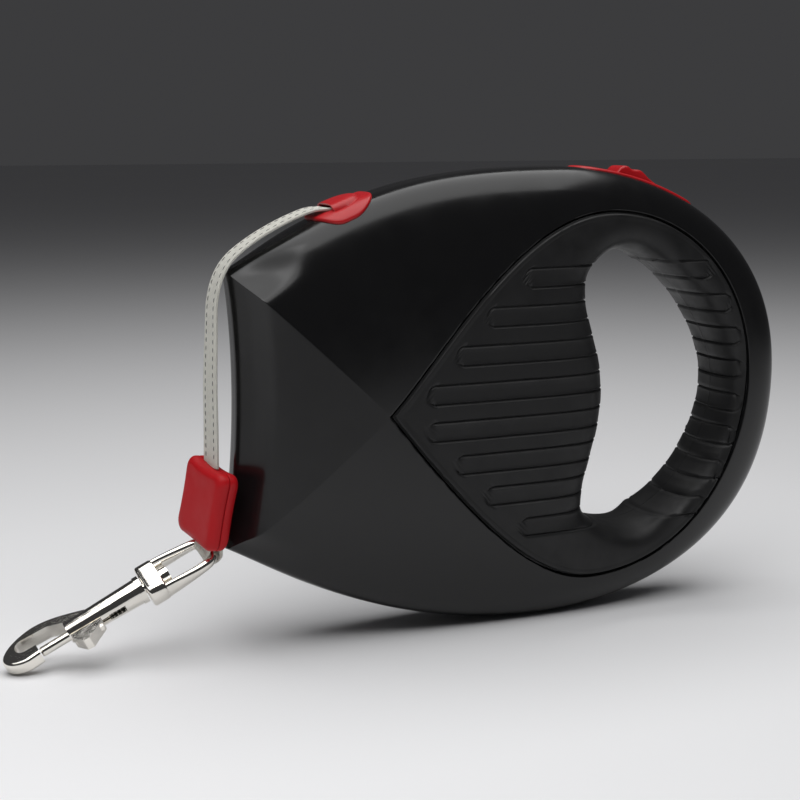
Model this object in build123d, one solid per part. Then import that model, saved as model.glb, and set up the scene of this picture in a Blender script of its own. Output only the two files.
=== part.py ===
from build123d import *
import math
import os

os.makedirs("parts", exist_ok=True)

# Retractable tape leash, in millimetres. +Z is up, -X is the nose where the tape
# leaves, +X is the handle, and Y = 0 is the plane where the two casings meet.
# The origin is under the middle of the casing, on the surface that it stands on.

# ---------------------------------------------------------------- driving sizes
# Crown of the casing: each level is the outline's scale about the peak, and its
# distance from the middle plane.
PEAK = (-52.5, 76.3)
LEVELS = [(1.0, 0.0), (0.985, 8.0), (0.93, 13.0), (0.70, 18.0), (0.35, 21.0), (0.03, 22.0)]
WALL = 2.6                      # casing wall
RUBBER = 2.0                    # thickness of the moulded grip
INNER_SCALE = 0.965             # inner outline over outer outline
INNER_CENTRE = (5.0, 77.0)
FLARE = [(0.0, 0.0), (8.0, 0.9), (12.0, 2.4), (15.0, 4.8), (18.0, 8.6), (23.0, 15.0)]
BEYOND = 25.0                   # clear of the side faces, for cutting tools
FIXED_FIT = 0.05                # clearance of a fixed fit
RUN_FIT = 0.1                   # clearance of a running fit

SCREWS = [(-86.0, 115.0), (-86.0, 42.0), (-4.0, 12.5), (-24.0, 139.0), (93.6, 79.0), (73.5, 30.0)]
SHANK_R, HEAD_R, HEAD_H = 1.4, 2.9, 2.0
HEAD_SEAT, SCREW_END = 7.0, -9.0
SCREW_BOSS_R = 3.9
DRIVE_HALF, DRIVE_SLOT = 2.0, 0.4

REEL_X, REEL_Z = -42.0, 78.0
AXLE_R = 4.0
AXLE_Y = (-16.9, 19.0)
AXLE_BOSS_R = 7.5
HUB_R = 15.0
FLANGE_R = 46.0
FLANGE_T = 1.2
COIL_R = 42.5                   # about 5 m of tape on the reel
TAPE_W = 10.0
TAPE_T = 1.1
CHAMBER = 5.3                   # half the width between the flanges
WINDOW_R, WINDOW_RING = 5.5, 24.5
TEETH = 24
TOOTH_TIP_R, TOOTH_ROOT_R, RATCHET_BORE_R = 45.0, 42.2, 33.0
RATCHET_Y = (-9.0, -6.5)
CUP_R, CUP_WALL = 34.0, 1.5
CUP_Y = (6.5, 14.5)
COVER_T = 1.0
SPRING_Y = (7.0, 14.0)
WASHER_R = 7.0

PAWL_X, PAWL_Z = -8.0, 131.0
PAWL_PIN_R, PAWL_HUB_R, PAWL_HUB_HALF = 1.5, 4.0, 9.2
PAWL_ANGLE, PAWL_GAP = 37.5, 0.45

EXIT_X, EXIT_Z, EXIT_SLOPE = -62.0, 141.0, 24.0
GUIDE_L, GUIDE_W, GUIDE_CORNER = 21.0, 24.5, 9.0
SLOT_X, SLOT_Z, SLOT_SLOPE = -56.5, 139.85, 33.9

BEZEL_X = (20.7, 67.7)
BEZEL_HALF = 7.0
BEZEL_FLOOR = 136.0
ABOVE = 165.0                   # clear above the casing
WINDOW_X, WINDOW_HALF = (29.4, 61.0), 4.9
BUTTON_HALF, CARRIER_HALF = 4.5, 4.0
BRAKE_SPRING_X, BRAKE_SPRING_Z, BRAKE_SPRING_R = 46.0, (131.0, 139.9), 2.6

HOOK_TILT = 26.0                # slope of the hook below the horizontal
BAR_X, BAR_Z = -106.8, 33.3     # middle of the eye's end bar, in the tape's loop
EYE_TURN = 60.0                 # turn of the eye about the hook's axis
EYE_S = -25.0                   # the eye's end bar, from the rear face of the barrel
EYE_HALF, EYE_WIRE = 6.3, 1.5
COLLAR_S = (-7.6, -1.6)
PIN_R, PIN_HEAD_R = 1.8, 3.0
BARREL_R, BARREL_END_R, BARREL_L = 4.25, 3.5, 25.4
BOLT_R, BOLT_N = 1.6, -1.3      # the bolt lies under the barrel's axis
HOOK_ROLL = 70.0                # turn of the snap hook on its swivel: bow to the right, stud to the left
BOW_HALF, BOW_ROUND = 2.5, 1.4
BOW_SEAT_R = 2.7                # round seat inside the bow

BUMPER_SIZE = (21.5, 7.0, 22.0)
BUMPER_CORNER, BUMPER_EDGE = 3.5, 1.6


# --------------------------------------------------------------------- helpers
def along_y(y0, y1, radius, x=REEL_X, z=REEL_Z, bore=0.0):
    """Round bar or tube along Y, from y0 to y1."""
    middle = (x, (y0 + y1) / 2, z)
    bar = Pos(*middle) * Rot(90, 0, 0) * Cylinder(radius, y1 - y0)
    if bore:
        bar -= Pos(*middle) * Rot(90, 0, 0) * Cylinder(bore, y1 - y0 + 1)
    return bar


def block(x0, x1, y0, y1, z0, z1):
    """Box between two corners."""
    middle = ((x0 + x1) / 2, (y0 + y1) / 2, (z0 + z1) / 2)
    return Pos(*middle) * Box(x1 - x0, y1 - y0, z1 - z0)


def plate(points, y0, y1):
    """Solid between y0 and y1 with straight sides through the points (x, z)."""
    face = Face(Wire.make_polygon([Vector(x, y0, z) for x, z in points], close=True))
    return extrude(face, amount=y1 - y0, dir=(0, 1, 0))


def coil_spring(low, high, radius, wire, coils):
    """Open coil spring along Z, from low to high."""
    rise = high - low - 2 * wire
    path = Helix(pitch=rise / coils, height=rise, radius=radius)
    start = Plane(origin=path @ 0, z_dir=path % 0)
    return Pos(0, 0, low + wire) * sweep(start * Circle(wire), path=path)


def save(shape, name):
    shape.label = name
    export_step(shape, "parts/" + name + ".step")


# -------------------------------------------------------------------- outlines
# Each outline is a ring of cubic curves seen along +Y: (x, z) of the start,
# the two handles and the end.
def body_outline():
    nose_top, nose_low = (-99.8, 121.7), (-101.7, 33.6)
    crown, back, foot = (14.0, 153.1), (101.7, 79.0), (9.0, 0.0)
    return [
        (nose_top, (-56.8, 147.5), (-36.2, 153.1), crown),
        (crown, (48.4, 153.1), (101.7, 133.5), back),
        (back, (101.7, 5.9), (27.3, 0.0), foot),
        (foot, (-45.6, 0.0), (-80.7, 22.8), nose_low),
        (nose_low, (-98.9, 62.0), (-97.6, 92.0), nose_top),
    ]


def grip_outline():
    top, back, foot = (29.0, 138.5), (86.0, 79.0), (25.0, 14.0)
    return [
        (PEAK, (-34.4, 94.4), (-6.9, 138.5), top),
        (top, (57.8, 138.5), (86.0, 116.1), back),
        (back, (86.0, 54.5), (67.3, 14.0), foot),
        (foot, (7.6, 14.0), (-14.2, 27.3), PEAK),
    ]


def hole_outline(grow):
    """Hand hole; its front side swells into the hole to fill the palm."""
    top, back, low = (36.0, 125.0 + grow), (79.5 + grow, 76.0), (40.0, 29.5 - grow)
    corner_x, swell_x = 23.5 - grow, 30.5 - grow
    low_corner, swell, top_corner = (corner_x, 38.5), (swell_x, 77.0), (corner_x, 113.0)
    reach = 1 + grow / 25
    return [
        (top, (top[0] + 18 * reach, top[1]), (back[0], back[1] + 22 * reach), back),
        (back, (back[0], back[1] - 22 * reach), (low[0] + 19 * reach, low[1]), low),
        (low, (low[0] - 9 * reach, low[1]), (corner_x, 38.5 - 5 * reach), low_corner),
        (low_corner, (corner_x, 50.5), (swell_x, 61.0), swell),
        (swell, (swell_x, 93.0), (corner_x, 101.0), top_corner),
        (top_corner, (corner_x, 113 + 6 * reach), (top[0] - 8 * reach, top[1]), top),
    ]


def scaled(outline, factor, centre):
    """Outline scaled about a centre."""
    def move(p):
        return tuple(c + factor * (v - c) for v, c in zip(p, centre))
    return [tuple(move(p) for p in curve) for curve in outline]


def ring(outline, y):
    """Closed wire of an outline at a height y."""
    return Wire([Edge.make_bezier(*[Vector(x, y, z) for x, z in curve]) for curve in outline])


def prism(outline, y0, y1):
    """Solid between y0 and y1 whose section is the outline."""
    return extrude(Face(ring(outline, y0)), amount=abs(y1 - y0), dir=(0, math.copysign(1, y1 - y0), 0))


# ---------------------------------------------------------------- casing forms
def form(outline, drop=0.0, swell=1.0):
    """Left half (y < 0) of the crowned body: rings that rise towards the peak."""
    rings = [ring(scaled(outline, swell * LEVELS[0][0], PEAK), 0.0)]
    for factor, height in LEVELS[1:]:
        rings.append(ring(scaled(outline, swell * factor, PEAK), -(height - drop)))
    return Solid.make_loft(rings, ruled=True)


def skin_band(outer_swell, drop, inner_swell):
    """Layer of both halves' surface, for pieces that follow the casing's outside."""
    outline = body_outline()
    half = form(outline, swell=outer_swell) - form(outline, drop, swell=inner_swell)
    return half + mirror(half, Plane.XZ)


def hole_tool(grow):
    """Left half of the hand hole, flared towards the side face."""
    return Solid.make_loft([ring(hole_outline(grow + g), -y) for y, g in FLARE], ruled=True)


def guide_prism(margin, height):
    """Rounded block square to the top surface at the tape's exit."""
    shape = Box(GUIDE_L + 2 * margin, GUIDE_W + 2 * margin, height)
    shape = fillet(shape.edges().filter_by(Axis.Z), GUIDE_CORNER)
    return Pos(EXIT_X, 0, EXIT_Z) * Rot(0, -EXIT_SLOPE, 0) * shape


def exit_slot(half_width, height):
    """Slot of the tape through the top wall, along the tape's rising run."""
    return Pos(SLOT_X, 0, SLOT_Z) * Rot(0, SLOT_SLOPE, 0) * Box(16, 2 * half_width, height)


def bezel_prism(margin):
    """Long rounded block over the brake's place on the top surface."""
    x0, x1 = BEZEL_X
    half = BEZEL_HALF + margin
    shape = block(x0 - margin, x1 + margin, -half, half, BEZEL_FLOOR - 5, ABOVE)
    return fillet(shape.edges().filter_by(Axis.Z), half - 0.1)


def left_shell():
    """Left casing with its bosses, before the openings and bores."""
    outline = body_outline()
    inner = scaled(outline, INNER_SCALE, INNER_CENTRE)
    under_grip = prism(grip_outline(), 1, -BEYOND)
    seat = form(outline, RUBBER) - hole_tool(RUBBER)
    shell = form(outline) - (under_grip - seat)
    cavity = form(inner, WALL) - under_grip
    cavity += form(inner, 2 * RUBBER)
    cavity -= hole_tool(RUBBER + WALL)
    shell -= cavity
    core = form(outline, WALL - 0.3)
    bosses = [along_y(-BEYOND, 0, SCREW_BOSS_R, x, z) for x, z in SCREWS]
    bosses.append(along_y(-BEYOND, RATCHET_Y[0] - 0.8, AXLE_BOSS_R))
    bosses.append(along_y(-BEYOND, -PAWL_HUB_HALF - 0.4, PAWL_HUB_R, PAWL_X, PAWL_Z))
    for boss in bosses:
        shell += boss & core
    return shell


def cut_openings(shell):
    """Openings shared by both casings: guide, tape slot, bezel and button."""
    shell -= skin_band(1.02, 1.2, 0.975) & guide_prism(FIXED_FIT, 40)
    shell -= exit_slot(TAPE_W / 2 + 0.6, 3.6)
    over_floor = block(0, 90, -BEYOND, BEYOND, BEZEL_FLOOR, ABOVE)
    return shell - (bezel_prism(FIXED_FIT) & over_floor)


def left_casing():
    shell = cut_openings(left_shell())
    for x, z in SCREWS:
        shell -= along_y(SCREW_END - 1.5, 0.5, SHANK_R + RUN_FIT, x, z)
    shell -= along_y(AXLE_Y[0] - 0.1, RATCHET_Y[0], AXLE_R + FIXED_FIT)
    shell -= along_y(-13.0, -9.0, PAWL_PIN_R + FIXED_FIT, PAWL_X, PAWL_Z)
    return shell


def right_casing():
    shell = mirror(left_shell(), Plane.XZ)
    shell -= along_y(5.0, CUP_Y[1] + COVER_T + 1.4, AXLE_BOSS_R + 0.2)
    shell = cut_openings(shell)
    for x, z in SCREWS:
        shell -= along_y(-0.5, BEYOND, SHANK_R + 0.15, x, z)
        shell -= along_y(HEAD_SEAT, BEYOND, HEAD_R + 0.25, x, z)
    shell -= along_y(6.0, AXLE_Y[1] + 0.1, AXLE_R + FIXED_FIT)
    shell -= along_y(6.0, 13.0, PAWL_PIN_R + FIXED_FIT, PAWL_X, PAWL_Z)
    return shell


def left_grip():
    outline = body_outline()
    seat = form(outline, RUBBER) - hole_tool(RUBBER)
    return (form(outline) & prism(grip_outline(), 0, -BEYOND)) - hole_tool(0) - seat


def casing_screws():
    """Six cross-headed screws that hold the casings together."""
    screws = []
    top = HEAD_SEAT + HEAD_H
    for x, z in SCREWS:
        screw = along_y(SCREW_END, HEAD_SEAT, SHANK_R, x, z) + along_y(HEAD_SEAT, top, HEAD_R, x, z)
        for half_x, half_z in ((DRIVE_HALF, DRIVE_SLOT), (DRIVE_SLOT, DRIVE_HALF)):
            screw -= block(x - half_x, x + half_x, top - 1, top + 1, z - half_z, z + half_z)
        screws.append(screw)
    return Compound(children=screws)


# ------------------------------------------------------------------- the reel
def reel_drum():
    """Hub, two flanges, the cup of the power spring and the ratchet's hub."""
    bore = AXLE_R + RUN_FIT
    drum = along_y(-CHAMBER, CHAMBER, HUB_R, bore=bore)
    for y0 in (-CHAMBER - FLANGE_T, CHAMBER):
        drum += along_y(y0, y0 + FLANGE_T, FLANGE_R, bore=bore)
    drum += along_y(CUP_Y[0], CUP_Y[1], CUP_R, bore=CUP_R - CUP_WALL)
    drum += along_y(RATCHET_Y[0], RATCHET_Y[1], WASHER_R, bore=bore)
    for i in range(6):
        a = math.radians(60 * i)
        x, z = REEL_X + WINDOW_RING * math.cos(a), REEL_Z + WINDOW_RING * math.sin(a)
        drum -= along_y(-CHAMBER - FLANGE_T - 1, -CHAMBER, WINDOW_R, x, z)
    return drum


def reel_cover():
    """Lid of the spring's cup, with three drive holes."""
    y0 = CUP_Y[1]
    cover = along_y(y0, y0 + COVER_T, CUP_R, bore=AXLE_R + RUN_FIT)
    for i in range(3):
        a = math.radians(30 + 120 * i)
        x, z = REEL_X + 20 * math.cos(a), REEL_Z + 20 * math.sin(a)
        cover -= along_y(y0 - 1, y0 + 3, 3.0, x, z)
    return cover


def ratchet_ring():
    """Saw teeth whose steep side stops the reel paying out tape."""
    step = 2 * math.pi / TEETH
    phase = math.radians(PAWL_ANGLE + 2.0) - 0.86 * step
    corners = ((TOOTH_ROOT_R, 0.0), (TOOTH_TIP_R, 0.62), (TOOTH_TIP_R, 0.74), (TOOTH_ROOT_R, 0.80))
    points = []
    for i in range(TEETH):
        for radius, lead in corners:
            a = phase + (i + lead) * step
            points.append((REEL_X + radius * math.cos(a), REEL_Z + radius * math.sin(a)))
    return plate(points, *RATCHET_Y) - along_y(RATCHET_Y[0] - 1, RATCHET_Y[1] + 1, RATCHET_BORE_R)


def power_spring():
    """Flat spiral spring, a chain of half rings about two centres."""
    pitch, thick, turns, start, reach = 2.5, 0.5, 10, 5.4, 60.0
    spiral = None
    for i in range(2 * turns):
        inner = start + i * pitch / 2
        side = 1 if i % 2 == 0 else -1
        half = along_y(*SPRING_Y, inner + thick, REEL_X - side * pitch / 4, REEL_Z, bore=inner)
        z0, z1 = sorted((REEL_Z, REEL_Z + side * reach))
        half &= block(REEL_X - reach, REEL_X + reach, 0, 30, z0, z1)
        spiral = half if spiral is None else spiral + half
    return spiral


def wound_tape():
    return along_y(-TAPE_W / 2, TAPE_W / 2, COIL_R, bore=HUB_R)


def reel_axle():
    """Fixed axle, slotted for the spring's inner end."""
    axle = along_y(*AXLE_Y, AXLE_R)
    return axle - block(REEL_X - 0.5, REEL_X + 0.5, *SPRING_Y, REEL_Z, REEL_Z + 5)


def axle_washers():
    bore = AXLE_R + FIXED_FIT
    return Compound(children=[along_y(-9.7, -9.2, WASHER_R, bore=bore), along_y(15.8, 16.4, WASHER_R, bore=bore)])


# --------------------------------------------------------- the tape outside
def tape_route():
    """Middle line of the free tape, from the guide to the bumper: (x, z)."""
    return [
        (-63.0, 141.9), (-69.0, 141.3), (-79.5, 137.6), (-90.5, 131.9), (-99.8, 125.0),
        (-103.9, 115.0), (-104.3, 102.5), (-105.0, 87.5), (-105.0, 73.0), (-105.2, 60.4),
    ]


def band(path):
    """Tape swept along a path in the plane y = 0."""
    start = Plane(origin=path @ 0, x_dir=(0, 1, 0), z_dir=path % 0)
    return sweep(start * Rectangle(TAPE_W, TAPE_T), path=path)


def tape_run():
    """Free tape: straight runs joined by tangent arcs, as large as they allow."""
    points = tape_route()
    radii = []
    for before, here, after in zip(points, points[1:], points[2:]):
        a = (here[0] - before[0], here[1] - before[1])
        b = (after[0] - here[0], after[1] - here[1])
        turn = abs(math.atan2(a[0] * b[1] - a[1] * b[0], a[0] * b[0] + a[1] * b[1]))
        radii.append(0.45 * min(math.hypot(*a), math.hypot(*b)) / math.tan(turn / 2))
    path = FilletPolyline(*[(x, 0, z) for x, z in points], radius=radii)
    solid = band(path)
    print("tape radii", [round(r, 1) for r in radii])
    print("tape volume / (section x length)", round(solid.volume / (TAPE_W * TAPE_T * path.length), 4))
    print("tape length", round(path.length, 1))
    return solid


def tape_lead():
    """Tape between the coil and the exit, held inside the casing."""
    angle, radius, lip_radius = math.radians(60.3), COIL_R + 0.9, 3.7
    leave = (REEL_X + radius * math.cos(angle), 0, REEL_Z + radius * math.sin(angle))
    out_x, out_z = tape_route()[0]
    return band(FilletPolyline(leave, (-60.0, 0, 142.2), (out_x, 0, out_z), radius=lip_radius))


def tape_guide():
    """Oval plate over the exit, with a hood that the tape leaves by."""
    guide = skin_band(1.013, 1.2, 0.977) & guide_prism(0, 40)
    hood_points = [(-3.5, 0.6), (-3.9, 3.9), (2.0, 3.9), (9.5, 1.0), (9.5, -0.5), (-2.5, -0.5)]
    half = TAPE_W / 2 + 2.0
    guide += Pos(EXIT_X, 0, EXIT_Z) * Rot(0, -EXIT_SLOPE, 0) * plate(hood_points, -half, half)
    guide -= exit_slot(TAPE_W / 2 + 0.4, 2 * TAPE_T + 0.2)
    mouth = Pos(-66.0, 0, 141.7) * Rot(0, -6, 0) * Box(11, TAPE_W + 0.8, 2 * TAPE_T)
    return guide - mouth


# --------------------------------------------------------------- brake parts
def brake_bezel():
    """Inlaid frame round the button's window."""
    over_floor = block(0, 90, -BEYOND, BEYOND, BEZEL_FLOOR + 0.1, ABOVE)
    bezel = skin_band(1.0085, 1.5, 0.972) & bezel_prism(0) & over_floor
    window = block(*WINDOW_X, -WINDOW_HALF, WINDOW_HALF, 120, ABOVE + 5)
    return bezel - fillet(window.edges().filter_by(Axis.Z), 0.8)


def brake_button():
    """Thumb piece: a ramp at the front, a ridge and a hollow back."""
    points = [
        (34.8, 145.4), (34.8, 149.3), (38.5, 151.2), (42.0, 153.4), (44.8, 153.9), (46.4, 152.6),
        (48.2, 153.0), (50.2, 151.8), (52.4, 148.9), (56.8, 146.2), (59.2, 144.9), (59.2, 142.4),
    ]
    return plate(points, -BUTTON_HALF, BUTTON_HALF)


def brake_carrier():
    """Slide under the button, with the foot that works the lever."""
    points = [(26.5, 140.3), (26.5, 143.2), (34.8, 145.1), (59.2, 142.1),
              (59.2, 137.9), (30.2, 137.9), (30.2, 140.3)]
    pocket = Pos(BRAKE_SPRING_X, 0, 138.95) * Cylinder(BRAKE_SPRING_R + 0.8, 2.1)
    return plate(points, -CARRIER_HALF, CARRIER_HALF) - pocket


def pawl_tip():
    """Tip of the pawl at rest, just clear of the teeth."""
    a = math.radians(PAWL_ANGLE)
    radius = TOOTH_TIP_R + PAWL_GAP
    return REEL_X + radius * math.cos(a), REEL_Z + radius * math.sin(a)


def brake_pawl():
    """Lever on the pawl pin: a long arm to the button, a short one to the teeth."""
    bore = PAWL_PIN_R + 0.08
    hub = along_y(-PAWL_HUB_HALF, PAWL_HUB_HALF, PAWL_HUB_R, PAWL_X, PAWL_Z, bore=bore)
    arm_points = [(PAWL_X - 1.0, PAWL_Z - 3.0), (PAWL_X - 1.0, PAWL_Z + 3.5), (20.0, 140.0),
                  (29.0, 140.0), (29.0, 137.2), (22.0, 136.4), (PAWL_X + 3.0, PAWL_Z - 2.0)]
    tip_x, tip_z = pawl_tip()
    tooth_points = [(PAWL_X - 3.5, PAWL_Z), (PAWL_X + 3.5, PAWL_Z), (tip_x + 4.2, tip_z + 4.5),
                    (tip_x + 1.9, tip_z + 0.6), (tip_x, tip_z), (tip_x - 0.3, tip_z + 2.2),
                    (tip_x - 2.0, tip_z + 7.0)]
    lever = hub + plate(arm_points, -2.5, 2.5) + plate(tooth_points, RATCHET_Y[0], RATCHET_Y[1] - 0.2)
    return lever - along_y(-10, 10, bore, PAWL_X, PAWL_Z)


def pawl_pin():
    return along_y(-12.9, 12.9, PAWL_PIN_R, PAWL_X, PAWL_Z)


def brake_spring():
    """Return spring between the handle's inner wall and the carrier."""
    low, high = BRAKE_SPRING_Z
    return Pos(BRAKE_SPRING_X, 0, 0) * coil_spring(low, high, BRAKE_SPRING_R, 0.35, 4)


# ---------------------------------------------------------------- snap hook
# The hook is drawn along +X, with its bow above the axis and its thumb stud below,
# and is then turned on its swivel and put in place by its own plane.
def hook_plane():
    """Frame of the hook: x along its axis to the bow, z up from it, y to the left side."""
    a = math.radians(HOOK_TILT)
    u = (-math.cos(a), 0, -math.sin(a))
    n = (-math.sin(a), 0, math.cos(a))
    origin = (BAR_X - EYE_S * u[0], 0, BAR_Z - EYE_S * u[2])
    return Plane(origin=origin, x_dir=u, z_dir=n)


def in_hook(shape):
    return hook_plane().location * shape


def on_swivel(shape):
    """Put a piece of the snap hook in place, turned about the hook's axis."""
    return in_hook(Rot(HOOK_ROLL, 0, 0) * shape)


def rod(s0, s1, radius, n=0.0, end_radius=None):
    """Round bar along the hook's axis, n above it."""
    shape = Cone(radius, end_radius, s1 - s0) if end_radius else Cylinder(radius, s1 - s0)
    return Pos((s0 + s1) / 2, 0, n) * Rot(0, 90, 0) * shape


def stud_side(shape):
    """Turn a shape drawn at y < 0 about the bolt, so that it points away from the bow."""
    return Pos(0, 0, BOLT_N) * Rot(90, 0, 0) * shape


def hook_slot(s0, s1, width, depth):
    """Block that leaves the bolt's axis towards the stud."""
    return Pos((s0 + s1) / 2, -depth / 2, 0) * Box(s1 - s0, depth, width)


def hook_body():
    """Barrel with its flange, the bolt's bore and slot, and the bow."""
    barrel = rod(0, BARREL_L, BARREL_R, end_radius=BARREL_END_R) + rod(-1.2, 0.6, BARREL_R + 0.35)
    shell = barrel + bow_shape()
    shell -= rod(1.5, BARREL_L + 0.6, BOLT_R + RUN_FIT, n=BOLT_N)
    shell -= stud_side(hook_slot(6.4, BARREL_L - 0.4, 2.2, 8))
    return shell - rod(-2, 1.5, PIN_R)


def bow_shape():
    """Wide hook with a flat tip that meets the bolt."""
    tip_s, seat_s, seat_n = 35.4, 39.0, 0.3
    with BuildSketch(Plane.XZ) as outer:
        with BuildLine():
            Spline((14.0, 2.4), (22.0, 6.0), (28.0, 8.3), (34.0, 9.2), (40.0, 8.0), (44.8, 5.2),
                   (46.7, 1.8), (45.7, -1.4), (43.1, -3.4), (39.5, -4.2))
            Line((39.5, -4.2), (tip_s, -3.9))
            Line((tip_s, -3.9), (tip_s, seat_n))
            Line((tip_s, seat_n), (seat_s, seat_n))
            ThreePointArc((seat_s, seat_n), (seat_s + BOW_SEAT_R, seat_n + BOW_SEAT_R),
                          (seat_s, seat_n + 2 * BOW_SEAT_R))
            Line((seat_s, seat_n + 2 * BOW_SEAT_R), (30.0, 5.2))
            Line((30.0, 5.2), (24.6, 2.4))
            Line((24.6, 2.4), (14.0, 2.4))
        make_face()
    solid = Pos(0, BOW_HALF, 0) * extrude(outer.sketch, amount=2 * BOW_HALF)
    rims = [e for e in solid.edges().filter_by(GeomType.BSPLINE) if abs(e.center().Y) > BOW_HALF - 0.01]
    return fillet(rims, BOW_ROUND)


def gate_bolt():
    return rod(12.0, 34.6, BOLT_R, n=BOLT_N) + rod(34.6, 35.1, BOLT_R, n=BOLT_N, end_radius=1.3)


def gate_knob():
    """Thumb stud: a stem through the slot and a wedge outside the barrel."""
    stem = stud_side(hook_slot(15.0, 24.6, 1.8, 5.0)) - rod(0, 40, BOLT_R, n=BOLT_N)
    wedge_points = [(14.6, 2.6), (24.9, 2.4), (24.9, 4.2), (22.5, 7.8), (20.4, 8.0), (14.6, 3.8)]
    face = Face(Wire.make_polygon([Vector(s, -d, -2.2) for s, d in wedge_points], close=True))
    wedge = stud_side(extrude(face, amount=4.4, dir=(0, 0, 1)))
    return stem + (wedge - rod(0, 27, BARREL_R + 0.35, end_radius=BARREL_END_R + 0.35))


def gate_spring():
    coil = coil_spring(1.8, 11.8, 1.25, 0.3, 7)
    return Pos(0, 0, BOLT_N) * Rot(0, 90, 0) * coil


def hook_eye():
    """Swivel collar with a closed U for the tape, turned about the hook's axis."""
    s0, s1 = COLLAR_S
    middle = (s0 + s1) / 2
    collar = Pos(middle, 0, 0) * Box(s1 - s0, 8.4, 14.6)
    collar = fillet(collar.edges().filter_by(Axis.X), 3.6)
    leg, corner = EYE_HALF - 0.6, 2.4
    path = FilletPolyline((middle, 0, leg), (EYE_S, 0, leg), (EYE_S, 0, -leg), (middle, 0, -leg), radius=corner)
    loop = sweep(Plane(origin=path @ 0, z_dir=path % 0) * Circle(EYE_WIRE), path=path)
    eye = collar + loop - rod(-9, 0, PIN_R + RUN_FIT)
    return Rot(EYE_TURN, 0, 0) * eye


def swivel_pin():
    head_s = COLLAR_S[0] - 0.2
    return rod(head_s, 1.4, PIN_R) + rod(head_s - 2.6, head_s, PIN_HEAD_R)


# ---------------------------------------------------------- bumper and loop
def bar_direction():
    """Unit vector along the eye's end bar, from the near side to the far side."""
    a, t = math.radians(HOOK_TILT), math.radians(EYE_TURN)
    return (-math.sin(a) * math.cos(t), math.sin(t), math.cos(a) * math.cos(t))


def tape_loop():
    """Sewn end of the tape: a ring about the eye's bar and a doubled leg above it."""
    middle_of_bar = Vector(BAR_X, 0, BAR_Z)
    bar = Plane(origin=middle_of_bar, z_dir=bar_direction())
    inside = EYE_WIRE + 0.3
    sleeve = bar.location * (Cylinder(inside + TAPE_T, 6.4) - Cylinder(inside, 9))
    leg_top = Vector(-105.6, 0, 57.0)
    leg_low = middle_of_bar + (leg_top - middle_of_bar).normalized() * 2.4
    reach = leg_top - leg_low
    leg_plane = Plane(origin=(leg_top + leg_low) * 0.5, x_dir=(-0.21, 0.978, 0), z_dir=reach)
    leg = leg_plane.location * Box(8.0, 2 * TAPE_T, reach.length)
    return sleeve + (leg - bar.location * Cylinder(inside, 30))


def bumper_half(side_sign):
    """One soft shell of the bumper; the two shells close on the tape."""
    shape = fillet(Box(*BUMPER_SIZE).edges().filter_by(Axis.Y), BUMPER_CORNER)
    faces = shape.edges().group_by(Axis.Y)
    shape = fillet(faces[0] + faces[-1], BUMPER_EDGE)
    half = shape & (Pos(0, side_sign * 5, 0) * Box(40, 10, 40))
    bumper_plane = Plane(origin=(-106.7, 0, 49.2), x_dir=(-0.21, 0.965, 0.155), z_dir=(0.158, -0.12, 0.98))
    return bumper_plane.location * half


# ------------------------------------------------------------------ assembly
def main():
    grip = left_grip()
    run = tape_run()
    loop = tape_loop()
    parts = {
        "left_casing": left_casing(),
        "right_casing": right_casing(),
        "left_grip": grip,
        "right_grip": mirror(grip, Plane.XZ),
        "casing_screws": casing_screws(),
        "reel_drum": reel_drum(),
        "reel_cover": reel_cover(),
        "ratchet_ring": ratchet_ring(),
        "power_spring": power_spring(),
        "wound_tape": wound_tape(),
        "reel_axle": reel_axle(),
        "axle_washers": axle_washers(),
        "tape_lead": tape_lead(),
        "tape_run": run,
        "tape_guide": tape_guide(),
        "brake_bezel": brake_bezel(),
        "brake_button": brake_button(),
        "brake_carrier": brake_carrier(),
        "brake_pawl": brake_pawl(),
        "pawl_pin": pawl_pin(),
        "brake_spring": brake_spring(),
        "hook_body": on_swivel(hook_body()),
        "gate_bolt": on_swivel(gate_bolt()),
        "gate_knob": on_swivel(gate_knob()),
        "gate_spring": on_swivel(gate_spring()),
        "hook_eye": in_hook(hook_eye()),
        "swivel_pin": in_hook(swivel_pin()),
        "tape_loop": loop,
        "bumper_front": bumper_half(1) - loop - run,
        "bumper_back": bumper_half(-1) - loop - run,
    }
    for name, shape in parts.items():
        save(shape, name)


main()
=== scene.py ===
import math

import bmesh
import bpy
import numpy as np
from mathutils import Matrix, Vector


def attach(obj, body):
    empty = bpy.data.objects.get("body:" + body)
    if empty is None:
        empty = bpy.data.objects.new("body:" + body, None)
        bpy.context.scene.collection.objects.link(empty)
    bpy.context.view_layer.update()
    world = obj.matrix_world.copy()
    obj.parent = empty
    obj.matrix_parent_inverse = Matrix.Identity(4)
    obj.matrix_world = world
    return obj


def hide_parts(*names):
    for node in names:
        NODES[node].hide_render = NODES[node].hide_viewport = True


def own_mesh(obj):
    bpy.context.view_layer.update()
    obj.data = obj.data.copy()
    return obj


# Retractable tape leash. Shapes are worked out in millimetres in the row frame and
# turned into metres when a mesh is made.
MM = 0.001

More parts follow.
